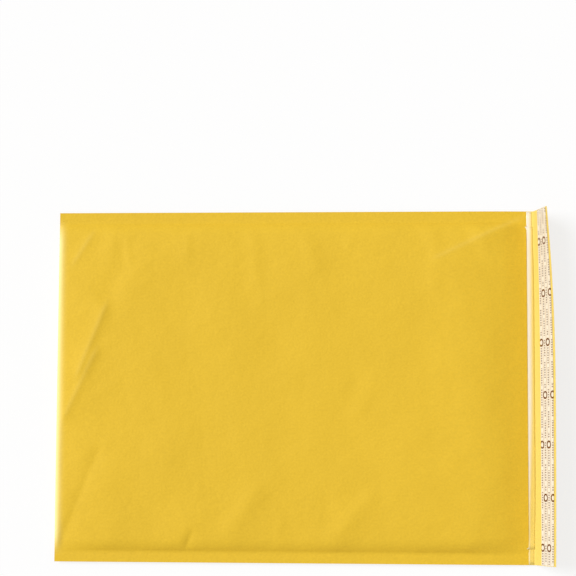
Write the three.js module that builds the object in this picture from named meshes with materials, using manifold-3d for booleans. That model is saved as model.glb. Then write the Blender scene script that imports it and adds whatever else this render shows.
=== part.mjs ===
// Padded mailing envelope: a kraft paper pocket lined with bubble film, with a standing self-seal flap.
// It lies on its back panel, with the folded end at -X, the mouth at +X and the sealed sides at -Y and +Y.
// Millimetres, +Z up. The origin is the middle of the back panel, on its resting face.

import * as THREE from "three";
import { mergeVertices } from "three/addons/utils/BufferGeometryUtils.js";
import Module from "manifold-3d";

const wasm = await Module();
wasm.setup();

// Outline of the flat envelope
const PANEL_LENGTH = 470; // folded end to mouth
const PANEL_WIDTH = 350; // over both side seams
const SEAM_WIDTH = 11; // flat sealed flange along each side
const FLAP_LENGTH = 47; // mouth to the free edge, measured along the paper

// Sheets
const PAPER = 0.2; // kraft paper
const BUBBLE_FILM = 3; // film and air cells, where they are not pressed flat
const MOUTH_FILM = 0.7; // the same film, flattened at the mouth
const GLUE = 0.15; // hot-melt strip
const LINER = 0.1; // silicone paper
const CLEARANCE = 0.3; // between the paper and the film
const SKIN_GAP = 0.1; // between the layers on the flap

// Swell of the pocket
const POCKET_GAP = 5.6; // room between the two films in the middle
const MOUTH_GAP = 5; // room between them at the mouth
const SEAL_GAP = 0.8; // room left between them beside the seams
const SEAM_LIFT = 4.4; // height of the side seams over the ground
const FOLD_LIFT = 5; // height of the fold's edge over the ground, in its middle
const NOSE_RUN = 5; // rounded nose of the folded end
const NOSE_SHARE = 0.52; // part of the front's rise that the nose makes
const FOLD_RAMP = 72; // gentle rise behind the nose
const SHOULDER_RUN = 12; // steep rise beside each side seam
const MOUTH_SHOULDER_RUN = 36; // the same rise at the mouth, where it flattens out
const SHOULDER_SHARE = 0.42; // part of the front's rise that the shoulder makes
const SIDE_RAMP = 92; // gentle rise from the side seams to the crown
const BACK_RUN = 14; // shoulder of the back panel, all round
const MOUTH_RUN = 72; // length over which the pocket flattens to the mouth

// Flap
const FLAP_FLAT = 4; // level run between the mouth and the crease
const CREASE_RADIUS = 4; // bend of the crease
const FLAP_ANGLE = 63; // degrees the flap stands up in its middle
const FLAP_CURL_FAR = 12; // degrees more at the +Y end
const FLAP_CURL_NEAR = 2; // degrees more at the -Y end
const LINER_WIDTH = 24; // across the strip
const LINER_LIP = 3.5; // bare paper between the liner and the free edge
const LINER_OVERLAP = 3; // liner past the glue on each side
const END_MARGIN = 0.5; // liner and glue stop short of the flap's ends
const FILM_REACH = 4.5; // film that shows past the paper's edge at the mouth

// Sizes that follow from the ones above
const FOLD_X = -PANEL_LENGTH / 2;
const MOUTH_X = PANEL_LENGTH / 2;
const HALF_WIDTH = PANEL_WIDTH / 2;
const SEAM_EDGE = HALF_WIDTH - SEAM_WIDTH;
const LINING_INSET = PAPER + CLEARANCE;
const BODY_TOP = 2 * (LINING_INSET + BUBBLE_FILM) + POCKET_GAP;
const MOUTH_LIFT = BUBBLE_FILM - MOUTH_FILM; // keeps the back film's inner face level out to the mouth
const MOUTH_TOP = MOUTH_LIFT + 2 * (LINING_INSET + MOUTH_FILM) + MOUTH_GAP;
const LINER_OUTER = FLAP_LENGTH - LINER_LIP;
const LINER_INNER = LINER_OUTER - LINER_WIDTH;
const GLUE_OUTER = LINER_OUTER - LINER_OVERLAP;
const GLUE_INNER = LINER_INNER + LINER_OVERLAP;

// Steps of the pocket's grid.
// Along it: 0 to 1 over the nose, 1 to 2 up the ramp, 2 to 3 on to the mouth, 4 past the mouth.
// Across it: -1 to 0 over the flange, 0 to 1 over the shoulder, 1 to 2 to the middle.
const NOSE_STEPS = [0, 0.2, 0.4, 0.6, 0.8, 1];
const LENGTH_STEPS = [1.15, 1.4, 1.7, 2, 2.3, 2.6, 2.8, 2.85, 2.88, 2.91, 2.94, 2.97, 3];
const SHOULDER_STEPS = [0, 0.13, 0.3, 0.5, 0.75, 1];
const WIDTH_STEPS = [1.1, 1.25, 1.45, 1.7];

// Steps of the flap's grid, the same for every layer on it: along the paper, and in shares of its half width.
const STEEPEST = FLAP_ANGLE + Math.max(FLAP_CURL_FAR, FLAP_CURL_NEAR);
const CREASE_LENGTH = CREASE_RADIUS * THREE.MathUtils.degToRad(STEEPEST);
const CREASE_STEPS = [0, 0.2, 0.4, 0.6, 0.8, 1].map((t) => FLAP_FLAT + t * CREASE_LENGTH);
const FLAP_STEPS = [...CREASE_STEPS, LINER_INNER, GLUE_INNER, GLUE_OUTER, LINER_OUTER].sort((a, b) => a - b);
const FLAP_SHARES = [-0.9, -0.75, -0.6, -0.4, -0.2, 0, 0.2, 0.4, 0.6, 0.75, 0.9];

const clamp = (t) => Math.min(1, Math.max(0, t));
const lerp = (a, b, t) => a + (b - a) * t;

// Shares of a rise at a distance inside an edge: a round nose, and a slope that eases out.
const nose = (distance, run) => Math.sqrt(1 - (1 - clamp(distance / run)) ** 2);
const eased = (distance, run) => 1 - (1 - clamp(distance / run)) ** 2;

function acrossSteps(start, flange) {
  const side = [...(flange ? [-1] : []), ...SHOULDER_STEPS.slice(start), ...WIDTH_STEPS];
  const near = side.map((w) => ({ w, sign: -1 }));
  const far = side.map((w) => ({ w, sign: 1 })).reverse();
  return [...near, { w: 2, sign: 1 }, ...far];
}

// Distance in from the fold, for a step along the pocket. The last step reaches past the mouth.
function foldDistance(u, reach) {
  if (u <= 1) {
    return NOSE_RUN * (1 - Math.cos((u * Math.PI) / 2));
  }
  if (u <= 2) {
    return lerp(NOSE_RUN, FOLD_RAMP, u - 1);
  }
  return u <= 3 ? lerp(FOLD_RAMP, PANEL_LENGTH, u - 2) : PANEL_LENGTH + reach;
}

// Distance in from the side seam, for a step across the pocket.
function seamDistance(w, shoulder) {
  if (w <= 0) {
    return w * SEAM_WIDTH;
  }
  return w <= 1 ? w * shoulder : lerp(shoulder, SEAM_EDGE, w - 1);
}

// Place on the swollen pocket, inset from its outer skin, with the heights of its front and back there.
function pocketAt(u, { w, sign }, inset, reach) {
  const fromFold = foldDistance(u, reach);
  const x = FOLD_X + fromFold + inset * (1 - clamp(fromFold / FOLD_RAMP));
  const shut = clamp((x - MOUTH_X + MOUTH_RUN) / MOUTH_RUN) ** 3;

  const shoulder = lerp(SHOULDER_RUN, MOUTH_SHOULDER_RUN, shut);
  const fromSeam = seamDistance(w, shoulder);
  const y = sign * (SEAM_EDGE - fromSeam - inset * (1 - clamp(fromSeam / SIDE_RAMP)));

  const foldShare = lerp(eased(fromFold, FOLD_RAMP), nose(fromFold, NOSE_RUN), NOSE_SHARE);
  const sideShare = lerp(eased(fromSeam, SIDE_RAMP), eased(fromSeam, shoulder), SHOULDER_SHARE);
  const backShare = nose(fromFold, BACK_RUN) * eased(fromSeam, BACK_RUN);
  const rim = lerp(lerp(SEAM_LIFT, FOLD_LIFT, sideShare), SEAM_LIFT, foldShare);
  const seam = lerp(rim, MOUTH_LIFT, shut);
  const top = lerp(BODY_TOP, MOUTH_TOP, shut);
  return {
    x,
    y,
    shut,
    front: lerp(seam + 2 * PAPER, top, foldShare * sideShare) - inset,
    back: lerp(seam, MOUTH_LIFT * shut, backShare) + inset,
  };
}

// Film thickness at a place: full in the swell, pressed flat towards the seams, the fold and the mouth.
function filmAt(place) {
  const room = (place.front - place.back - SEAL_GAP) / 2;
  return Math.min(lerp(BUBBLE_FILM, MOUTH_FILM, place.shut), room);
}

// Place on the flap at a distance from the mouth along the paper, lifted off its outer face.
function flapAt(along, y, lift) {
  const curl = y > 0 ? FLAP_CURL_FAR : FLAP_CURL_NEAR;
  const angle = THREE.MathUtils.degToRad(FLAP_ANGLE + curl * (y / HALF_WIDTH) ** 2);
  const turn = Math.min(angle, Math.max(0, (along - FLAP_FLAT) / CREASE_RADIUS));
  const straight = Math.max(0, along - FLAP_FLAT - CREASE_RADIUS * angle);
  const x = Math.min(along, FLAP_FLAT) + CREASE_RADIUS * Math.sin(turn) + straight * Math.cos(turn);
  const z = MOUTH_LIFT + CREASE_RADIUS * (1 - Math.cos(turn)) + straight * Math.sin(turn);
  return new THREE.Vector3(MOUTH_X + x - lift * Math.sin(turn), y, z + lift * Math.cos(turn));
}

// Closed solid between a lower and an upper grid of points, walled in around its rim.
function slab(rows, columns, lowerPoint, upperPoint) {
  const points = [];
  const at = (r, c, upper) => ((upper ? rows.length : 0) + r) * columns.length + c;
  for (const point of [lowerPoint, upperPoint]) {
    rows.forEach((r) => columns.forEach((c) => points.push(...point(r, c).toArray())));
  }

  const index = [];
  const quad = (a, b, c, d) => index.push(a, b, c, a, c, d);
  const lastRow = rows.length - 1;
  const lastColumn = columns.length - 1;
  for (let r = 0; r < lastRow; r += 1) {
    const next = r + 1;
    for (let c = 0; c < lastColumn; c += 1) {
      quad(at(r, c, true), at(next, c, true), at(next, c + 1, true), at(r, c + 1, true));
      quad(at(r, c, false), at(r, c + 1, false), at(next, c + 1, false), at(next, c, false));
    }
    quad(at(r, 0, false), at(next, 0, false), at(next, 0, true), at(r, 0, true));
    quad(
      at(r, lastColumn, false),
      at(r, lastColumn, true),
      at(next, lastColumn, true),
      at(next, lastColumn, false),
    );
  }
  for (let c = 0; c < lastColumn; c += 1) {
    const next = c + 1;
    quad(at(0, c, false), at(0, c, true), at(0, next, true), at(0, next, false));
    quad(at(lastRow, c, false), at(lastRow, next, false), at(lastRow, next, true), at(lastRow, c, true));
  }

  const geometry = new THREE.BufferGeometry();
  geometry.setAttribute("position", new THREE.Float32BufferAttribute(points, 3));
  geometry.setIndex(index);
  return solidFrom(geometry);
}

function solidFrom(geometry) {
  const merged = mergeVertices(geometry, 1e-4);
  return new wasm.Manifold(
    new wasm.Mesh({
      numProp: 3,
      vertProperties: new Float32Array(merged.attributes.position.array),
      triVerts: new Uint32Array(merged.index.array),
    }),
  );
}

// Pocket-shaped solid: its front and back drawn in by inset, and by the film's thickness if asked for.
// start skips the first steps at the fold and the seams, where the drawn-in surfaces would cross.
function pocketSolid({ inset, start, flange = false, reach = 0, insideFilm = false }) {
  const point = (u, across, front) => {
    const place = pocketAt(u, across, inset, reach);
    const film = insideFilm ? filmAt(place) : 0;
    return new THREE.Vector3(place.x, place.y, front ? place.front - film : place.back + film);
  };
  return slab(
    [...NOSE_STEPS.slice(start), ...LENGTH_STEPS, ...(reach ? [4] : [])],
    acrossSteps(start, flange),
    (u, across) => point(u, across, false),
    (u, across) => point(u, across, true),
  );
}

// Sheet that follows the flap, from one distance along it to another, between two lifts off its outer face.
function flapSheet(from, to, halfWidth, low, high) {
  const inner = FLAP_SHARES.map((t) => t * HALF_WIDTH).filter((y) => Math.abs(y) < halfWidth);
  const rows = [from, ...FLAP_STEPS.filter((s) => s > from && s < to), to];
  const columns = [-halfWidth, ...inner, halfWidth];
  return slab(
    rows,
    columns,
    (s, y) => flapAt(s, y, low),
    (s, y) => flapAt(s, y, high),
  );
}

// One folded web of paper: a swollen pocket with sealed flanges, whose back runs on as the flap.
function kraftEnvelope() {
  const outside = pocketSolid({ inset: 0, start: 0, flange: true });
  const inside = pocketSolid({ inset: PAPER, start: 1, reach: FILM_REACH });
  const flap = flapSheet(-1, FLAP_LENGTH, HALF_WIDTH, 0, PAPER);
  return outside.subtract(inside).add(flap);
}

// Bag of bubble film inside the paper, showing a little out of the mouth.
function bubbleLining() {
  const outside = pocketSolid({ inset: LINING_INSET, start: 2, reach: FILM_REACH });
  const inside = pocketSolid({ inset: LINING_INSET, start: 3, reach: FILM_REACH + 1, insideFilm: true });
  return outside.subtract(inside);
}

function adhesiveStrip() {
  const low = PAPER + SKIN_GAP;
  return flapSheet(GLUE_INNER, GLUE_OUTER, HALF_WIDTH - END_MARGIN, low, low + GLUE);
}

function releaseLiner() {
  const low = PAPER + SKIN_GAP + GLUE + SKIN_GAP;
  return flapSheet(LINER_INNER, LINER_OUTER, HALF_WIDTH - END_MARGIN, low, low + LINER);
}

function piece(name, solid, look) {
  const mesh = solid.getMesh();
  const geometry = new THREE.BufferGeometry();
  geometry.setAttribute("position", new THREE.Float32BufferAttribute(mesh.vertProperties, 3));
  geometry.setIndex(new THREE.Uint32BufferAttribute(mesh.triVerts, 1));
  geometry.computeVertexNormals();
  const made = new THREE.Mesh(geometry, new THREE.MeshStandardMaterial(look));
  made.name = name;
  return made;
}

const group = new THREE.Group();
group.name = "padded_envelope";
group.add(piece("kraft_envelope", kraftEnvelope(), { color: 0xe4b73c, roughness: 0.75, metalness: 0 }));
group.add(piece("bubble_lining", bubbleLining(), { color: 0xf4f1e6, roughness: 0.35, metalness: 0 }));
group.add(piece("adhesive_strip", adhesiveStrip(), { color: 0xe9dfb8, roughness: 0.4, metalness: 0 }));
group.add(piece("release_liner", releaseLiner(), { color: 0xf7ead0, roughness: 0.5, metalness: 0 }));

export default group;
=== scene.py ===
"""Looks of a padded kraft envelope: creased gold paper, bubble film lining, glue strip and printed liner.

Lengths in the shape functions are millimetres, as on a maker's drawing. Meshes are built in metres.
"""
import math

import bpy
import numpy as np
from bpy.props import FloatProperty, FloatVectorProperty, PointerProperty
from bpy.types import Operator, Panel, PropertyGroup
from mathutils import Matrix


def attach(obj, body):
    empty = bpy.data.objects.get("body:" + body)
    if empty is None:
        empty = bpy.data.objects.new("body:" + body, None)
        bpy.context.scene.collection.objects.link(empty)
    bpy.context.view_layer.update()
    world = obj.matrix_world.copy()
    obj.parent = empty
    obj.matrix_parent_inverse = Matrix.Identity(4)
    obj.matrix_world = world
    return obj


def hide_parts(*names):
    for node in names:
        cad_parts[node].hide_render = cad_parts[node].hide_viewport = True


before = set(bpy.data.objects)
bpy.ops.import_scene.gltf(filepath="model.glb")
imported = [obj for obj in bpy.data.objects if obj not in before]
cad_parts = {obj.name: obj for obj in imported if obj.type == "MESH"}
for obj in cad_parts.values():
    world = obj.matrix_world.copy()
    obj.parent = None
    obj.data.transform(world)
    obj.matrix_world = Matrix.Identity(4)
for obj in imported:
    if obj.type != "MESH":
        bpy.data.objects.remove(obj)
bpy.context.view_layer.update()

bl_info = {
    "name": "Padded kraft envelope",
    "version": (1, 0, 0),
    "blender": (4, 5, 0),
    "location": "3D View > Sidebar > Envelope",
    "description": "Builds the visible pieces of a padded envelope on its packed frame, and a plain stage",
    "category": "Object",
}

MM = 0.001

# Shape of the envelope, the same as in the part's own drawing

FOLD_X, MOUTH_X = -235.0, 235.0
HALF_WIDTH = 175.0
SEAM_EDGE = 164.0
FLAP_LENGTH = 47.0
PAPER = 0.2
FILM_INSET = 0.5
BUBBLE_FILM, MOUTH_FILM = 3.0, 0.7
SEAM_LIFT, FOLD_LIFT, MOUTH_LIFT = 4.4, 5.0, 2.3
BODY_TOP, MOUTH_TOP = 12.6, 5.2  # the soft mouth hangs a little lower than the rigid solid's
NOSE_RUN, NOSE_SHARE, FOLD_RAMP = 5.0, 0.52, 72.0
SHOULDER_RUN, MOUTH_SHOULDER_RUN, SHOULDER_SHARE = 12.0, 36.0, 0.42
SIDE_RAMP, BACK_RUN, MOUTH_RUN = 92.0, 14.0, 72.0
FLAP_FLAT, CREASE_RADIUS = 4.0, 4.0
FLAP_ANGLE, FLAP_CURL_FAR, FLAP_CURL_NEAR = 63.0, 12.0, 2.0
LINER_INNER, LINER_OUTER = 19.5, 43.5
GLUE_INNER, GLUE_OUTER = 22.5, 40.5
STRIP_HALF = 174.5

# Soft paper and film, where they differ from the rigid solids
PAPER_SKIN, FILM_SKIN = 0.18, 0.12
FILM_SLACK, SLACK_END, SLACK_RUN = 0.9, 200.0, 25.0
EDGE_DROOP, EDGE_GAP = 0.5, 0.2
LIP_LENGTH, LIP_LIFT = 5.2, 0.05
LEVEL_BASE = 4.2
CELL_SINK, CELL_CLEARANCE, CELL_LEAST = 0.2, 0.25, 0.3
CALM_SEAM, CALM_FOLD, CALM_MOUTH = 7.0, 9.0, 24.0
# Width of the highlight painted along the fold's nose, and the share of wear on the sharp crease ridges
FOLD_HIGHLIGHT_WIDTH, CREASE_SCUFF = 4.8, 0.08


def lerp(a, b, t):
    return a + (b - a) * t


def smooth(t):
    t = np.clip(t, 0, 1)
    return t * t * (3 - 2 * t)


def nose(distance, run):
    """Share of a rise over a round nose."""
    return np.sqrt(1 - (1 - np.clip(distance / run, 0, 1)) ** 2)


def eased(distance, run):
    """Share of a rise that starts steep and eases out."""
    return 1 - (1 - np.clip(distance / run, 0, 1)) ** 2


def pocket(x, y):
    """Heights of the front and back paper faces at a place, and how far the mouth has flattened them."""
    from_fold = x - FOLD_X
    from_seam = SEAM_EDGE - np.abs(y)
    shut = np.clip((x - MOUTH_X + MOUTH_RUN) / MOUTH_RUN, 0, 1) ** 3
    shoulder = lerp(SHOULDER_RUN, MOUTH_SHOULDER_RUN, shut)
    fold_share = lerp(eased(from_fold, FOLD_RAMP), nose(from_fold, NOSE_RUN), NOSE_SHARE)
    side_share = lerp(eased(from_seam, SIDE_RAMP), eased(from_seam, shoulder), SHOULDER_SHARE)
    back_share = nose(from_fold, BACK_RUN) * eased(from_seam, BACK_RUN)
    rim = lerp(lerp(SEAM_LIFT, FOLD_LIFT, side_share), SEAM_LIFT, fold_share)
    seam = lerp(rim, MOUTH_LIFT, shut)
    front = lerp(seam + 2 * PAPER, lerp(BODY_TOP, MOUTH_TOP, shut), fold_share * side_share)
    back = lerp(seam, MOUTH_LIFT * shut, back_share)
    return front, back, shut


def flap(along, y, lift):
    """Place on the flap at a distance from the mouth along the paper, lifted off its outer face."""
    curl = np.where(y > 0, FLAP_CURL_FAR, FLAP_CURL_NEAR)
    angle = np.radians(FLAP_ANGLE + curl * (y / HALF_WIDTH) ** 2)
    turn = np.minimum(angle, np.maximum(0, (along - FLAP_FLAT) / CREASE_RADIUS))
    straight = np.maximum(0, along - FLAP_FLAT - CREASE_RADIUS * angle)
    x = np.minimum(along, FLAP_FLAT) + CREASE_RADIUS * np.sin(turn) + straight * np.cos(turn)
    z = MOUTH_LIFT + CREASE_RADIUS * (1 - np.cos(turn)) + straight * np.sin(turn)
    return np.stack([MOUTH_X + x - lift * np.sin(turn), y + 0 * x, z + lift * np.cos(turn)], axis=-1)


# Creases, puckers and soft swells of the front panel

# start, end, height, spread on the left of the line, seen along it, spread on its right, sharp or soft
CREASES = [
    ((-184, 86), (-216, 6), 2.0, 5, 15, True),
    ((-193, 40), (-229, -36), 1.7, 5, 13, True),
    ((-160, 148), (-188, 76), -1.0, 11, 13, False),
    ((-190, -60), (-231, -162), -1.3, 13, 6, True),
    ((-199, 157), (-222, 120), 0.8, 4, 7, True),
    ((-166, 152), (-162, 120), 0.5, 4, 5, False),
    ((-104, 154), (-104, 128), 0.4, 5, 5, False),
    ((-39, 156), (-32, 96), 0.6, 7, 6, False),
    ((15, 154), (28, 106), 0.6, 7, 7, False),
    ((59, 154), (59, 130), 0.4, 5, 5, False),
    ((-66, -153), (-28, -96), 0.9, 8, 10, False),
    ((41, -156), (83, -105), 0.9, 8, 10, False),
    ((37, -104), (36, -144), -0.5, 7, 7, False),
    ((-104, -162), (-96, -143), -1.5, 2.5, 6, True),
    ((-5, -124), (-12, -154), 0.5, 4, 5, False),
    ((88, 12), (62, -34), 0.5, 8, 8, False),
    ((236, 172), (182, 146), 2.0, 24, 20, True),
    ((236, 172), (142, 127), 1.7, 24, 20, True),
    ((145, 132), (145, 88), 0.5, 9, 9, False),
    ((186, 130), (186, -160), 1.4, 34, 60, False),
    ((-190, 142), (150, 142), 0.9, 30, 24, False),
    ((-190, -146), (190, -146), 0.6, 26, 20, False),
]


def crease(x, y, start, end, height, left, right, sharp):
    """Height of one crease: full along its line, dying off to both sides and towards its ends."""
    start, end = np.array(start, float), np.array(end, float)
    length = np.hypot(*(end - start))
    ux, uy = (end - start) / length
    along = (x - start[0]) * ux + (y - start[1]) * uy
    across = (y - start[1]) * ux - (x - start[0]) * uy
    spread = np.where(across > 0, left, right)
    ends = smooth((along + 6) / 18) * smooth((length + 6 - along) / 18)
    if sharp:
        return height * ends * np.exp(-(np.sqrt(across**2 + 1) - 1) / spread)
    return height * ends * np.exp(-((across / spread) ** 2))


def swells(x, y):
    """Soft unevenness of paper that was rolled, filled with air and handled."""
    rng = np.random.default_rng(11)
    total = np.zeros(np.broadcast(x, y).shape)
    for wavelength, height, count in ((95, 0.3, 6), (46, 0.13, 8), (21, 0.045, 10)):
        for _ in range(count):
            heading = rng.uniform(0, math.pi)
            stretch = wavelength * rng.uniform(0.75, 1.3)
            phase = rng.uniform(0, 2 * math.pi)
            wave = (x * math.cos(heading) + y * math.sin(heading)) * 2 * math.pi / stretch + phase
            total += height * np.sin(wave) / math.sqrt(count)
    return total


def relief(x, y, amount):
    """Crease and swell height of the front panel, let down to nothing at its seams, fold and mouth."""
    calm = eased(SEAM_EDGE - np.abs(y), CALM_SEAM) * smooth((x - FOLD_X) / CALM_FOLD)
    calm = calm * smooth((MOUTH_X - 1 - x) / CALM_MOUTH)
    total = swells(x, y) * calm
    for line in CREASES:
        total = total + crease(x, y, *line) * calm
    return total * amount


def fold_highlight_and_crease_wear(x, y):
    """Share of pale colour: a painted highlight along the fold's nose, and wear where the dye has rubbed
    pale on the sharp creases.
    """
    painted_highlight_and_wear = np.exp(-((x - FOLD_X) / FOLD_HIGHLIGHT_WIDTH) ** 2) * smooth((SEAM_EDGE + 8 - np.abs(y)) / 30)
    for start, end, height, *_, sharp in CREASES:
        if sharp and height > 0:
            painted_highlight_and_wear = np.maximum(painted_highlight_and_wear, CREASE_SCUFF * crease(x, y, start, end, 1, 1.2, 1.2, True))
    return np.clip(painted_highlight_and_wear, 0, 1)


# Helpers for meshes and materials


def linear(code):
    """Linear colour, with alpha, of an sRGB hex value."""
    channels = [int(code[i : i + 2], 16) / 255 for i in (1, 3, 5)]
    return [c / 12.92 if c <= 0.04045 else ((c + 0.055) / 1.055) ** 2.4 for c in channels] + [1.0]


def add(tree, kind, links=(), **settings):
    """Adds a node. Settings are its own properties, and links are (input, value or output socket) pairs."""
    node = tree.nodes.new(kind)
    for key, value in settings.items():
        setattr(node, key, value)
    for key, value in links:
        if isinstance(value, bpy.types.NodeSocket):
            tree.links.new(value, node.inputs[key])
        else:
            node.inputs[key].default_value = value
    return node


def new_material(name):
    material = bpy.data.materials.new(name)
    material.use_nodes = True
    tree = material.node_tree
    tree.nodes.clear()
    return material, tree


def grid_normals(points):
    """Outward unit normals of a grid of points, rows running along the web and columns across it."""
    along = np.gradient(points, axis=0)
    across = np.gradient(points, axis=1)
    normal = np.cross(across, along)
    return normal / np.maximum(np.linalg.norm(normal, axis=-1, keepdims=True), 1e-9)


def new_object(name, points, faces, material):
    """Object at the origin from points in millimetres."""
    mesh = bpy.data.meshes.new(name)
    mesh.from_pydata((np.asarray(points) * MM).tolist(), [], faces)
    mesh.polygons.foreach_set("use_smooth", [True] * len(mesh.polygons))
    mesh.materials.append(material)
    mesh.validate()
    mesh.update()
    made = bpy.data.objects.new(name, mesh)
    bpy.context.scene.collection.objects.link(made)
    return made


def sheet_faces(rows, columns):
    """Quads of a closed sheet: its outer grid, its inner grid and the rim between them."""
    at = np.arange(2 * rows * columns).reshape(2, rows, columns)
    outer, inner = at

    def quads(a, b, c, d):
        return np.stack([a.ravel(), b.ravel(), c.ravel(), d.ravel()], axis=1)

    parts = [
        quads(outer[:-1, :-1], outer[:-1, 1:], outer[1:, 1:], outer[1:, :-1]),
        quads(inner[:-1, :-1], inner[1:, :-1], inner[1:, 1:], inner[:-1, 1:]),
        quads(outer[0, 1:], outer[0, :-1], inner[0, :-1], inner[0, 1:]),
        quads(outer[-1, :-1], outer[-1, 1:], inner[-1, 1:], inner[-1, :-1]),
        quads(outer[:-1, 0], outer[1:, 0], inner[1:, 0], inner[:-1, 0]),
        quads(outer[1:, -1], outer[:-1, -1], inner[:-1, -1], inner[1:, -1]),
    ]
    return np.concatenate(parts).tolist()


def sheet_object(name, outer, inner, material):
    """Closed sheet between two grids of points, with crisp rims."""
    rows, columns = outer.shape[:2]
    points = np.concatenate([outer.reshape(-1, 3), inner.reshape(-1, 3)])
    made = new_object(name, points, sheet_faces(rows, columns), material)
    made.data.set_sharp_from_angle(angle=math.radians(60))
    return made


def add_attribute(made, name, values):
    attribute = made.data.attributes.new(name, "FLOAT", "POINT")
    attribute.data.foreach_set("value", np.asarray(values, np.float32).ravel())


def stations(*marks):
    """Distances from mark to mark, each pair given with its own step."""
    found = [marks[0]]
    for step, end in zip(marks[1::2], marks[2::2]):
        count = max(1, round(abs(end - found[-1]) / step))
        found.extend(np.linspace(found[-1], end, count + 1)[1:])
    return np.array(found)


# Sizes and colours a user would change


def colour_property(name, description, code):
    return FloatVectorProperty(
        name=name, description=description, subtype="COLOR", size=4, min=0, max=1, default=linear(code)
    )


class EnvelopeSizes(PropertyGroup):
    crease_amount: FloatProperty(
        name="Crease amount",
        description="Height of the creases and swells, as a share",
        default=1.0,
        min=0,
        max=2,
        subtype="FACTOR",
    )
    bubble_pitch: FloatProperty(
        name="Bubble pitch",
        description="Distance between neighbouring air cells",
        default=0.0115,
        min=0.006,
        max=0.03,
        unit="LENGTH",
    )
    bubble_width: FloatProperty(
        name="Bubble width",
        description="Width of one air cell",
        default=0.0098,
        min=0.004,
        max=0.028,
        unit="LENGTH",
    )


class EnvelopeColours(PropertyGroup):
    kraft: colour_property("Kraft paper", "Gold dye of the paper", "#E8C136")
    # Pale colour of a highlight painted along the fold's nose, also used for dye rubbed pale on the sharp
    # creases
    kraft_highlight_and_wear: colour_property("Worn paper", "Paper where the dye has rubbed off", "#FEEFA4")
    # The inner face is drawn paler than the outer face: a painted highlight for the light and sheen that the
    # steep flap catches
    kraft_inside_highlight: colour_property("Inner face", "Paler inner face of the paper, seen on the flap", "#EFD46F")
    film: colour_property("Bubble film", "Milky polyethylene", "#F8F2E9")
    glue: colour_property("Glue", "Hot-melt strip", "#E6D3A0")
    liner: colour_property("Liner", "Cream silicone paper", "#ECE6DC")
    print_dark: colour_property("Dark print", "Rings and bars on the liner", "#6A3A1C")
    print_light: colour_property("Light print", "Thin lines on the liner", "#CBB193")


# Materials


def gold_kraft_paper(colours):
    """Gold-dyed kraft paper, machine-glazed: matt, cloudy in tone, with a fine pulp grain and the faint
    unevenness that the air cells behind it press into it."""
    material, tree = new_material("gold_kraft_paper")
    place = add(tree, "ShaderNodeTexCoord").outputs["Object"]
    clouds = add(tree, "ShaderNodeTexNoise", [("Vector", place), ("Scale", 1 / 0.045), ("Detail", 3.0)])
    pulp = add(tree, "ShaderNodeTexNoise", [("Vector", place), ("Scale", 1 / 0.0021), ("Detail", 4.0)])
    fibres = add(
        tree, "ShaderNodeMapping", [("Vector", place), ("Scale", (1 / 0.006, 1 / 0.0013, 1 / 0.002))]
    )
    strands = add(
        tree, "ShaderNodeTexNoise", [("Vector", fibres.outputs[0]), ("Scale", 1.0), ("Detail", 2.0)]
    )
    cloud_tone = add(
        tree, "ShaderNodeMapRange", [("Value", clouds.outputs[0]), ("To Min", 0.97), ("To Max", 1.03)]
    )
    pulp_tone = add(
        tree, "ShaderNodeMapRange", [("Value", pulp.outputs[0]), ("To Min", 0.9), ("To Max", 1.1)]
    )
    tone = add(
        tree, "ShaderNodeMath", [(0, cloud_tone.outputs[0]), (1, pulp_tone.outputs[0])], operation="MULTIPLY"
    )
    dyed = add(
        tree,
        "ShaderNodeVectorMath",
        [(0, colours.kraft[:3]), ("Scale", tone.outputs[0])],
        operation="SCALE",
    )
    # Inner faces take the paler colour, a painted highlight for the lit flap
    inside = add(tree, "ShaderNodeAttribute", attribute_name="inside")
    faced = add(
        tree,
        "ShaderNodeMix",
        [(0, inside.outputs["Fac"]), (6, dyed.outputs[0]), (7, tuple(colours.kraft_inside_highlight))],
        data_type="RGBA",
    )
    # Pale mix: a painted highlight along the fold's nose, and rubbed dye on the sharp creases
    highlight_and_wear = add(tree, "ShaderNodeAttribute", attribute_name="highlight_and_wear")
    painted_highlight_and_wear = add(
        tree,
        "ShaderNodeMix",
        [(0, highlight_and_wear.outputs["Fac"]), (6, faced.outputs[2]), (7, tuple(colours.kraft_highlight_and_wear))],
        data_type="RGBA",
    )
    grain = add(tree, "ShaderNodeMath", [(0, pulp.outputs[0]), (1, strands.outputs[0])], operation="ADD")
    cells = add(tree, "ShaderNodeTexNoise", [("Vector", place), ("Scale", 1 / 0.011), ("Detail", 1.0)])
    pressed = add(
        tree, "ShaderNodeBump", [("Height", cells.outputs[0]), ("Strength", 0.4), ("Distance", 0.0008)]
    )
    bump = add(
        tree,
        "ShaderNodeBump",
        [
            ("Height", grain.outputs[0]),
            ("Strength", 0.6),
            ("Distance", 0.0003),
            ("Normal", pressed.outputs[0]),
        ],
    )
    paper = add(
        tree,
        "ShaderNodeBsdfPrincipled",
        [
            ("Base Color", painted_highlight_and_wear.outputs[2]),
            ("Roughness", 0.62),
            ("IOR", 1.47),
            ("Specular IOR Level", 0.22),
            ("Sheen Weight", 0.06),
            ("Sheen Roughness", 0.4),
            ("Normal", bump.outputs[0]),
        ],
    )
    add(tree, "ShaderNodeOutputMaterial", [("Surface", paper.outputs[0])])
    return material


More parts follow.
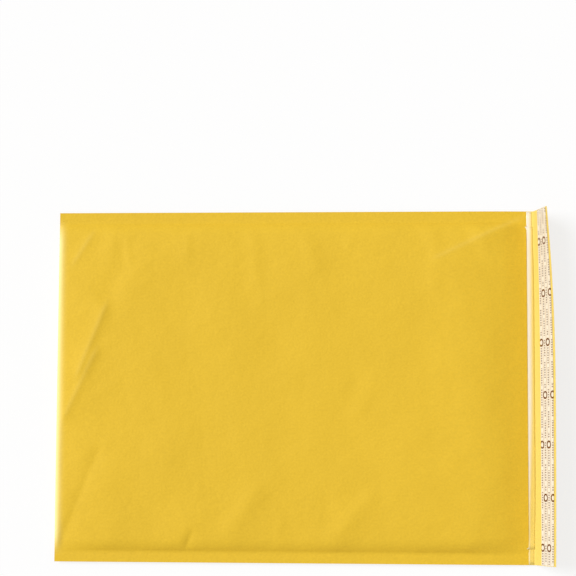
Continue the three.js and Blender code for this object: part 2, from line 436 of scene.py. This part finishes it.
def milky_polyethylene(colours):
    """Blown polyethylene film: milky white, soft gloss, the gold paper showing through its thin edge."""
    material, tree = new_material("milky_polyethylene_film")
    place = add(tree, "ShaderNodeTexCoord").outputs["Object"]
    haze = add(tree, "ShaderNodeTexNoise", [("Vector", place), ("Scale", 1 / 0.012), ("Detail", 2.0)])
    tone = add(tree, "ShaderNodeMapRange", [("Value", haze.outputs[0]), ("To Min", 0.95), ("To Max", 1.03)])
    milky = add(
        tree, "ShaderNodeVectorMath", [(0, colours.film[:3]), ("Scale", tone.outputs[0])], operation="SCALE"
    )
    bared = add(tree, "ShaderNodeAttribute", attribute_name="bared")
    # The thin edge blends to the inner-face colour, which carries the flap's painted highlight
    seen_through = add(
        tree,
        "ShaderNodeMix",
        [(0, bared.outputs["Fac"]), (6, milky.outputs[0]), (7, tuple(colours.kraft_inside_highlight))],
        data_type="RGBA",
    )
    wrinkles = add(tree, "ShaderNodeTexNoise", [("Vector", place), ("Scale", 1 / 0.004), ("Detail", 2.0)])
    bump = add(
        tree, "ShaderNodeBump", [("Height", wrinkles.outputs[0]), ("Strength", 0.25), ("Distance", 0.0004)]
    )
    film = add(
        tree,
        "ShaderNodeBsdfPrincipled",
        [
            ("Base Color", seen_through.outputs[2]),
            ("Roughness", 0.34),
            ("IOR", 1.51),
            ("Subsurface Weight", 0.15),
            ("Subsurface Radius", (0.002, 0.002, 0.002)),
            ("Normal", bump.outputs[0]),
        ],
    )
    add(tree, "ShaderNodeOutputMaterial", [("Surface", film.outputs[0])])
    return material


def hot_melt(colours):
    """Hot-melt glue drawn on as a band: pale amber, tacky gloss, with fine drag lines."""
    material, tree = new_material("hot_melt_glue")
    place = add(tree, "ShaderNodeTexCoord").outputs["Object"]
    drawn = add(
        tree, "ShaderNodeMapping", [("Vector", place), ("Scale", (1 / 0.0015, 1 / 0.03, 1 / 0.0015))]
    )
    lines = add(tree, "ShaderNodeTexNoise", [("Vector", drawn.outputs[0]), ("Scale", 1.0), ("Detail", 2.0)])
    tone = add(
        tree, "ShaderNodeMapRange", [("Value", lines.outputs[0]), ("To Min", 0.92), ("To Max", 1.04)]
    )
    amber = add(
        tree, "ShaderNodeVectorMath", [(0, colours.glue[:3]), ("Scale", tone.outputs[0])], operation="SCALE"
    )
    bump = add(
        tree, "ShaderNodeBump", [("Height", lines.outputs[0]), ("Strength", 0.3), ("Distance", 0.0003)]
    )
    glue = add(
        tree,
        "ShaderNodeBsdfPrincipled",
        [("Base Color", amber.outputs[0]), ("Roughness", 0.22), ("IOR", 1.5), ("Normal", bump.outputs[0])],
    )
    add(tree, "ShaderNodeOutputMaterial", [("Surface", glue.outputs[0])])
    return material


# The liner's print in millimetres along and across the strip: four staggered rows, each with a plain ring
# every 100 mm, runs of short bars between the rings and a thin line beside them.
PRINT_STEPS = []
PRINT_ROWS = {"first": (2.4, 62.4), "second": (8.6, 14), "third": (14.9, 62.4), "fourth": (22.3, 14)}
for row, (middle, shift) in PRINT_ROWS.items():
    PRINT_STEPS += [
        (f"{row}_from", "ADD", "along", 400 + shift),
        (f"{row}_u", "WRAP", f"{row}_from", 100.0, 0.0),
        (f"{row}_v", "SUBTRACT", "across", middle),
        (f"{row}_off", "SUBTRACT", f"{row}_u", 5.0),
        (f"{row}_off2", "MULTIPLY", f"{row}_off", f"{row}_off"),
        (f"{row}_far2", "MULTIPLY_ADD", f"{row}_v", f"{row}_v", f"{row}_off2"),
        (f"{row}_far", "SQRT", f"{row}_far2"),
        (f"{row}_ring", "COMPARE", f"{row}_far", 3.2, 0.85),
        (f"{row}_side", "ABSOLUTE", f"{row}_v"),
        (f"{row}_tall", "LESS_THAN", f"{row}_side", 1.25),
        (f"{row}_tick", "WRAP", f"{row}_u", 2.4, 0.0),
        (f"{row}_bar", "LESS_THAN", f"{row}_tick", 1.4),
        (f"{row}_run", "WRAP", f"{row}_u", 21.0, 0.0),
        (f"{row}_in_run", "LESS_THAN", f"{row}_run", 17.0),
        (f"{row}_past", "GREATER_THAN", f"{row}_u", 12.0),
        (f"{row}_a", "MULTIPLY", f"{row}_bar", f"{row}_tall"),
        (f"{row}_b", "MULTIPLY", f"{row}_a", f"{row}_in_run"),
        (f"{row}_bars", "MULTIPLY", f"{row}_b", f"{row}_past"),
        (f"{row}_faint", "MULTIPLY", f"{row}_bars", 0.7),
        (f"{row}_marks", "MAXIMUM", f"{row}_ring", f"{row}_faint"),
        (f"{row}_line", "COMPARE", f"{row}_v", 3.1, 0.35),
    ]
for kind in ("marks", "line"):
    PRINT_STEPS += [
        (f"{kind}_1", "MAXIMUM", f"first_{kind}", f"second_{kind}"),
        (f"{kind}_2", "MAXIMUM", f"third_{kind}", f"fourth_{kind}"),
        (f"all_{kind}", "MAXIMUM", f"{kind}_1", f"{kind}_2"),
    ]


def printed_silicone_paper(colours):
    """Silicone-coated release paper: smooth cream with a satin coat, printed with rows of plain marks."""
    material, tree = new_material("silicone_release_paper")
    place = add(tree, "ShaderNodeTexCoord").outputs["Object"]
    fibre = add(tree, "ShaderNodeTexNoise", [("Vector", place), ("Scale", 1 / 0.003), ("Detail", 3.0)])
    bump = add(
        tree, "ShaderNodeBump", [("Height", fibre.outputs[0]), ("Strength", 0.12), ("Distance", 0.0002)]
    )
    tone = add(
        tree, "ShaderNodeMapRange", [("Value", fibre.outputs[0]), ("To Min", 0.98), ("To Max", 1.02)]
    )
    cream = add(
        tree, "ShaderNodeVectorMath", [(0, colours.liner[:3]), ("Scale", tone.outputs[0])], operation="SCALE"
    )
    strip = add(tree, "ShaderNodeUVMap", uv_map="strip_mm")
    apart = add(tree, "ShaderNodeSeparateXYZ", [("Vector", strip.outputs[0])])
    found = {"along": apart.outputs["X"], "across": apart.outputs["Y"]}
    for name, operation, *given in PRINT_STEPS:
        links = [(i, found.get(value, value)) for i, value in enumerate(given)]
        found[name] = add(tree, "ShaderNodeMath", links, operation=operation).outputs[0]
    lined = add(
        tree,
        "ShaderNodeMix",
        [(0, found["all_line"]), (6, cream.outputs[0]), (7, tuple(colours.print_light))],
        data_type="RGBA",
    )
    printed = add(
        tree,
        "ShaderNodeMix",
        [(0, found["all_marks"]), (6, lined.outputs[2]), (7, tuple(colours.print_dark))],
        data_type="RGBA",
    )
    coated = add(
        tree,
        "ShaderNodeBsdfPrincipled",
        [
            ("Base Color", printed.outputs[2]),
            ("Roughness", 0.4),
            ("IOR", 1.43),
            ("Normal", bump.outputs[0]),
        ],
    )
    add(tree, "ShaderNodeOutputMaterial", [("Surface", coated.outputs[0])])
    return material


def studio_floor():
    """Matt white paper sweep: plain white to the eye, with the object's soft shadow on it."""
    material, tree = new_material("white_paper_sweep")
    matt = add(tree, "ShaderNodeBsdfDiffuse", [("Color", linear("#E7E7E7"))])
    shaded = add(tree, "ShaderNodeBsdfDiffuse", [("Color", linear("#7C7D81"))])
    glow = add(tree, "ShaderNodeEmission", [("Color", linear("#FFFFFF")), ("Strength", 0.79)])
    both = add(tree, "ShaderNodeAddShader", [(0, shaded.outputs[0]), (1, glow.outputs[0])])
    light = add(tree, "ShaderNodeLightPath")
    seen = add(
        tree,
        "ShaderNodeMath",
        [(0, light.outputs["Is Camera Ray"]), (1, light.outputs["Is Glossy Ray"])],
        operation="MAXIMUM",
    )
    mixed = add(
        tree, "ShaderNodeMixShader", [(0, seen.outputs[0]), (1, matt.outputs[0]), (2, both.outputs[0])]
    )
    add(tree, "ShaderNodeOutputMaterial", [("Surface", mixed.outputs[0])])
    return material


# Pieces


class ENVELOPE_OT_paper(Operator):
    """Build the folded, sealed and creased kraft paper with its standing flap"""

    bl_idname = "envelope.paper"
    bl_label = "Kraft paper"

    def execute(self, context):
        amount = context.scene.envelope_sizes.crease_amount
        side = stations(0, 2.2, 95, 1.9, 150, 1.2, SEAM_EDGE, 2.75, HALF_WIDTH)
        y = np.concatenate([-side[:0:-1], side])[None, :]
        turn = np.linspace(0, math.pi / 2, 9)
        front_runs = stations(NOSE_RUN, 1.7, 90, 4, 122, 1.5, 149, 4, 370, 1.8, 470)
        front_in = np.concatenate([NOSE_RUN * (1 - np.cos(turn)), front_runs[1:]])
        back_in = np.concatenate([BACK_RUN * (1 - np.cos(turn)), stations(BACK_RUN, 14, 400, 7, 470)[1:]])
        crease_end = FLAP_FLAT + CREASE_RADIUS * math.radians(FLAP_ANGLE + FLAP_CURL_FAR)
        flap_out = stations(0, 2, FLAP_FLAT, 0.8, crease_end, 3, FLAP_LENGTH)[1:, None]

        x = (FOLD_X + front_in[::-1])[:, None]
        front = np.stack(np.broadcast_arrays(x, y, pocket(x, y)[0] + relief(x, y, amount)), axis=-1)
        x = (FOLD_X + back_in)[:, None]
        back = np.stack(np.broadcast_arrays(x, y, pocket(x, y)[1]), axis=-1)
        outer = np.concatenate([front, back, flap(flap_out, y + 0 * flap_out, 0)])
        inner = outer - PAPER_SKIN * grid_normals(outer)

        material = gold_kraft_paper(context.scene.envelope_colours)
        paper = sheet_object("kraft_paper_web", outer, inner, material)
        # Painted highlight along the fold's nose and wear on the sharp creases, for the front and back
        # panels
        painted_highlight_and_wear = np.zeros(outer.shape[:2])
        painted_highlight_and_wear[: len(front)] = fold_highlight_and_crease_wear(front[..., 0], front[..., 1])
        painted_highlight_and_wear[len(front) : len(front) + len(back)] = fold_highlight_and_crease_wear(back[..., 0], back[..., 1])
        add_attribute(paper, "highlight_and_wear", np.stack([painted_highlight_and_wear, painted_highlight_and_wear]))
        # Inner faces are marked for the paler colour painted as the flap's highlight
        add_attribute(paper, "inside", np.stack([np.zeros(painted_highlight_and_wear.shape), np.ones(painted_highlight_and_wear.shape)]))
        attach(paper, "root")
        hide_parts("kraft_envelope")
        return {"FINISHED"}


def bubble_tree(material):
    """Geometry Nodes: sets one dome on each marked point of the film, then joins them to the film."""
    tree = bpy.data.node_groups.new("bubble_cells", "GeometryNodeTree")
    tree.interface.new_socket("Geometry", in_out="INPUT", socket_type="NodeSocketGeometry")
    tree.interface.new_socket("Bubble width", in_out="INPUT", socket_type="NodeSocketFloat")
    tree.interface.new_socket("Geometry", in_out="OUTPUT", socket_type="NodeSocketGeometry")
    given = add(tree, "NodeGroupInput")
    marked = add(tree, "GeometryNodeInputNamedAttribute", [("Name", "cell")], data_type="FLOAT")
    is_cell = add(tree, "FunctionNodeCompare", [(0, marked.outputs[0]), (1, 0.5)], operation="GREATER_THAN")
    rise = add(tree, "GeometryNodeInputNamedAttribute", [("Name", "rise")], data_type="FLOAT")
    tilt = add(tree, "GeometryNodeInputNamedAttribute", [("Name", "tilt")], data_type="FLOAT_VECTOR")
    turned = add(tree, "FunctionNodeEulerToRotation", [("Euler", tilt.outputs[0])])
    ball = add(tree, "GeometryNodeMeshUVSphere", [("Segments", 10), ("Rings", 6), ("Radius", 0.5)])
    spot = add(tree, "GeometryNodeInputPosition")
    parts = add(tree, "ShaderNodeSeparateXYZ", [("Vector", spot.outputs[0])])
    below = add(tree, "FunctionNodeCompare", [(0, parts.outputs["Z"]), (1, -0.01)], operation="LESS_THAN")
    dome = add(
        tree,
        "GeometryNodeDeleteGeometry",
        [("Geometry", ball.outputs["Mesh"]), ("Selection", below.outputs[0])],
    )
    smoothed = add(tree, "GeometryNodeSetShadeSmooth", [("Geometry", dome.outputs[0])])
    size = add(
        tree,
        "ShaderNodeCombineXYZ",
        [("X", given.outputs["Bubble width"]), ("Y", given.outputs["Bubble width"]), ("Z", rise.outputs[0])],
    )
    placed = add(
        tree,
        "GeometryNodeInstanceOnPoints",
        [
            ("Points", given.outputs["Geometry"]),
            ("Selection", is_cell.outputs[0]),
            ("Instance", smoothed.outputs[0]),
            ("Rotation", turned.outputs[0]),
            ("Scale", size.outputs[0]),
        ],
    )
    film = add(
        tree,
        "GeometryNodeDeleteGeometry",
        [("Geometry", given.outputs["Geometry"]), ("Selection", is_cell.outputs[0])],
    )
    real = add(tree, "GeometryNodeRealizeInstances", [("Geometry", placed.outputs[0])])
    joined = add(tree, "GeometryNodeJoinGeometry")
    tree.links.new(film.outputs[0], joined.inputs[0])
    tree.links.new(real.outputs[0], joined.inputs[0])
    looked = add(tree, "GeometryNodeSetMaterial", [("Geometry", joined.outputs[0]), ("Material", material)])
    add(tree, "NodeGroupOutput", [("Geometry", looked.outputs[0])])
    return tree


class ENVELOPE_OT_lining(Operator):
    """Build the bubble film lining: a film bag with air cells on its inner faces"""

    bl_idname = "envelope.lining"
    bl_label = "Bubble lining"

    @staticmethod
    def front_film(x, y, amount):
        moved = relief(x, y, amount)
        loose = np.minimum(moved, 0) - FILM_SLACK
        return pocket(x, y)[0] + lerp(loose, moved, smooth((x - SLACK_END) / SLACK_RUN)) - FILM_INSET

    @staticmethod
    def back_film(x, y, amount):
        return pocket(x, y)[1] + FILM_INSET

    def execute(self, context):
        sizes = context.scene.envelope_sizes
        material = milky_polyethylene(context.scene.envelope_colours)
        half = SEAM_EDGE - 4.5
        side = stations(0, 6, 120, 4, half)
        across = np.concatenate([-side[:0:-1], side])
        edge = pocket(MOUTH_X, across)[0] - FILM_INSET - EDGE_DROOP
        below = MOUTH_LIFT + CREASE_RADIUS - np.maximum(edge, MOUTH_LIFT + FILM_INSET + EDGE_DROOP)
        reach = FLAP_FLAT + np.sqrt((CREASE_RADIUS - PAPER) ** 2 - below**2) - EDGE_GAP
        shares = stations(0, 0.01, 0.04, 0.014, 0.85, 0.008, 0.985, 0.0025, 1)
        x = lerp(FOLD_X + 1.6, (MOUTH_X + reach)[None, :], shares[:, None])
        back_x = lerp(FOLD_X + 1.6, (MOUTH_X + np.minimum(reach, LEVEL_BASE))[None, :], shares[:, None])
        y = np.broadcast_to(across[None, :], x.shape)
        low = self.back_film(back_x, y, sizes.crease_amount)
        droop = EDGE_DROOP * smooth((x - MOUTH_X - 0.8) / 3.6)
        high = np.maximum(
            self.front_film(x, y, sizes.crease_amount) - droop,
            self.back_film(x, y, sizes.crease_amount) + EDGE_DROOP,
        )

        sheets = []
        for run, z, sign in ((x, high, 1), (back_x, low, -1)):
            skin = np.stack([run, y, z], axis=-1)
            sheets.append((skin, skin - [0, 0, FILM_SKIN * sign]))
        lip_y = np.linspace(-STRIP_HALF, STRIP_HALF, 90)[None, :]
        lip_out = np.linspace(0, LIP_LENGTH, 7)[:, None]
        lifts = (PAPER + LIP_LIFT, PAPER + LIP_LIFT + FILM_SKIN)
        sheets.append([flap(lip_out, lip_y + 0 * lip_out, lift) for lift in lifts])
        points, faces, rise = [], [], []
        for k, (skin, under) in enumerate(sheets):
            rows, columns = skin.shape[:2]
            quads = np.array(sheet_faces(rows, columns)) + sum(len(p) for p in points)
            faces.append(quads if k else quads[:, ::-1])
            points.append(np.concatenate([skin.reshape(-1, 3), under.reshape(-1, 3)]))
        film_count = sum(len(p) for p in points)

        pitch = sizes.bubble_pitch / MM
        cells = []
        for row, cy in enumerate(np.arange(-half + pitch, half - pitch * 0.9, pitch * math.sqrt(3) / 2)):
            xs = np.arange(FOLD_X + 9 + (row % 2) * pitch / 2, MOUTH_X - pitch * 0.1, pitch)
            cells.append(np.stack([xs, np.full_like(xs, cy)], axis=1))
        cells = np.concatenate(cells)
        front, back, shut = pocket(cells[:, 0], cells[:, 1])
        room = (front - back - 2 * FILM_INSET - 0.8) / 2
        height = np.minimum(lerp(BUBBLE_FILM, MOUTH_FILM, shut), room) - CELL_CLEARANCE
        kept = height > CELL_LEAST
        cells, height = cells[kept], height[kept]
        tilts = [np.zeros((film_count, 3))]
        for side, sign in ((self.front_film, -1), (self.back_film, 1)):
            level = side(*cells.T, sizes.crease_amount)
            slope_x = (side(cells[:, 0] + 2, cells[:, 1], sizes.crease_amount) - level) / 2
            slope_y = (side(cells[:, 0], cells[:, 1] + 2, sizes.crease_amount) - level) / 2
            points.append(np.column_stack([cells, level + CELL_SINK * sign]))
            rise.append(2 * height * MM)
            over = math.pi if sign < 0 else 0
            tilts.append(np.column_stack([np.arctan(slope_y) + over, -np.arctan(slope_x), 0 * level]))

        points = np.concatenate(points)
        film = new_object("bubble_film_bag", points, np.concatenate(faces).tolist(), material)
        marks = np.arange(len(points)) >= film_count
        add_attribute(film, "cell", marks)
        thin_from = MOUTH_X + lerp(-2.0, 1.8, smooth((points[:, 1] + HALF_WIDTH) / 170))
        add_attribute(film, "bared", smooth((points[:, 0] - thin_from) / 4) * (points[:, 0] > MOUTH_X - 1))
        add_attribute(film, "rise", np.concatenate([np.zeros(film_count), *rise]))
        tilt = film.data.attributes.new("tilt", "FLOAT_VECTOR", "POINT")
        tilt.data.foreach_set("vector", np.concatenate(tilts).astype(np.float32).ravel())

        tree = bubble_tree(material)
        modifier = film.modifiers.new("bubble_cells", "NODES")
        modifier.node_group = tree
        for item in tree.interface.items_tree:
            if item.in_out == "INPUT" and item.name == "Bubble width":
                modifier[item.identifier] = sizes.bubble_width
        graph = context.evaluated_depsgraph_get()
        made = bpy.data.meshes.new_from_object(film.evaluated_get(graph))
        film.modifiers.clear()
        film.data = made
        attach(film, "root")
        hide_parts("bubble_lining")
        return {"FINISHED"}


def flap_strip(name, inner_edge, outer_edge, low, high, material):
    """Thin strip that follows the flap between two distances along it."""
    y = np.linspace(-STRIP_HALF, STRIP_HALF, 150)[None, :]
    along = np.linspace(outer_edge, inner_edge, 13)[:, None]
    top = flap(along, y + 0 * along, high)
    under = flap(along, y + 0 * along, low)
    strip = sheet_object(name, top, under, material)
    layer = strip.data.uv_layers.new(name="strip_mm")
    rows, columns = top.shape[:2]
    u = np.tile(np.broadcast_to(y, (rows, columns)).ravel(), 2)
    v = np.tile(np.broadcast_to(along - inner_edge, (rows, columns)).ravel(), 2)
    corner = np.zeros(len(strip.data.loops), np.int32)
    strip.data.loops.foreach_get("vertex_index", corner)
    layer.data.foreach_set("uv", np.column_stack([u[corner], v[corner]]).astype(np.float32).ravel())
    return strip


class ENVELOPE_OT_flap_strips(Operator):
    """Build the glue strip on the flap and the printed release liner over it"""

    bl_idname = "envelope.flap_strips"
    bl_label = "Glue and liner"

    def execute(self, context):
        colours = context.scene.envelope_colours
        glue = flap_strip("glue_strip", GLUE_INNER, GLUE_OUTER, 0.3, 0.45, hot_melt(colours))
        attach(glue, "root")
        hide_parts("adhesive_strip")
        liner = flap_strip(
            "release_liner_strip", LINER_INNER, LINER_OUTER, 0.55, 0.65, printed_silicone_paper(colours)
        )
        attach(liner, "root")
        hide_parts("release_liner")
        return {"FINISHED"}


# Stage


# Key light and camera, in degrees, metres and millimetres of lens
KEY_SPREAD, KEY_ENERGY, KEY_ELEVATION, KEY_AZIMUTH = 34, 2.5, 47, 160
AMBIENT_STRENGTH, AMBIENT_COLOUR, SHOWN_COLOUR = 0.42, "#FFF7E0", "#FFFFFF"
FLOOR_REACH = 6000
CAMERA_LENS, CAMERA_SENSOR = 117.5, 36
CAMERA_PLACE, CAMERA_TURN = (0.12339, -0.08787, 1.87606), (5.69, 3.835, 0.287)


class ENVELOPE_OT_stage(Operator):
    """Set up the white floor, soft studio light and camera"""

    bl_idname = "envelope.stage"
    bl_label = "Stage"

    def execute(self, context):
        scene = context.scene
        scene.view_settings.view_transform = "Standard"

        reach = FLOOR_REACH
        corners = [(-reach, -reach, 0), (reach, -reach, 0), (reach, reach, 0), (-reach, reach, 0)]
        floor = new_object("floor", corners, [(0, 1, 2, 3)], studio_floor())

        world = bpy.data.worlds.new("studio")
        world.use_nodes = True
        tree = world.node_tree
        tree.nodes.clear()
        light = add(tree, "ShaderNodeLightPath")
        shown = add(
            tree,
            "ShaderNodeMath",
            [(0, light.outputs["Is Camera Ray"]), (1, light.outputs["Is Transmission Ray"])],
            operation="MAXIMUM",
        )
        strength = add(
            tree,
            "ShaderNodeMapRange",
            [("Value", shown.outputs[0]), ("To Min", AMBIENT_STRENGTH), ("To Max", 1.0)],
        )
        tint = add(
            tree,
            "ShaderNodeMix",
            [(0, shown.outputs[0]), (6, linear(AMBIENT_COLOUR)), (7, linear(SHOWN_COLOUR))],
            data_type="RGBA",
        )
        sky = add(
            tree, "ShaderNodeBackground", [("Color", tint.outputs[2]), ("Strength", strength.outputs[0])]
        )
        add(tree, "ShaderNodeOutputWorld", [("Surface", sky.outputs[0])])
        scene.world = world

        key_data = bpy.data.lights.new("key", "SUN")
        key_data.angle = math.radians(KEY_SPREAD)
        key_data.energy = KEY_ENERGY
        key = bpy.data.objects.new("key", key_data)
        elevation, azimuth = math.radians(KEY_ELEVATION), math.radians(KEY_AZIMUTH)
        key.rotation_euler = (math.pi / 2 - elevation, 0, azimuth + math.pi / 2)
        scene.collection.objects.link(key)

        camera_data = bpy.data.cameras.new("camera")
        camera_data.sensor_width = CAMERA_SENSOR
        camera_data.lens = CAMERA_LENS
        camera = bpy.data.objects.new("camera", camera_data)
        camera.location = CAMERA_PLACE
        camera.rotation_euler = [math.radians(a) for a in CAMERA_TURN]
        scene.collection.objects.link(camera)
        scene.camera = camera
        return {"FINISHED"}


class ENVELOPE_PT_panel(Panel):
    bl_label = "Padded envelope"
    bl_idname = "ENVELOPE_PT_panel"
    bl_space_type = "VIEW_3D"
    bl_region_type = "UI"
    bl_category = "Envelope"

    def draw(self, context):
        layout = self.layout
        for group in (context.scene.envelope_sizes, context.scene.envelope_colours):
            for name in group.__annotations__:
                layout.prop(group, name)
        for kind in OPERATORS:
            layout.operator(kind.bl_idname)


OPERATORS = (ENVELOPE_OT_paper, ENVELOPE_OT_lining, ENVELOPE_OT_flap_strips, ENVELOPE_OT_stage)
CLASSES = (EnvelopeSizes, EnvelopeColours, *OPERATORS, ENVELOPE_PT_panel)


def register():
    for kind in CLASSES:
        bpy.utils.register_class(kind)
    bpy.types.Scene.envelope_sizes = PointerProperty(type=EnvelopeSizes)
    bpy.types.Scene.envelope_colours = PointerProperty(type=EnvelopeColours)


def unregister():
    del bpy.types.Scene.envelope_colours
    del bpy.types.Scene.envelope_sizes
    for kind in reversed(CLASSES):
        bpy.utils.unregister_class(kind)


def main():
    register()
    bpy.ops.envelope.paper()
    bpy.ops.envelope.lining()
    bpy.ops.envelope.flap_strips()
    bpy.ops.envelope.stage()


if __name__ == "__main__":
    main()
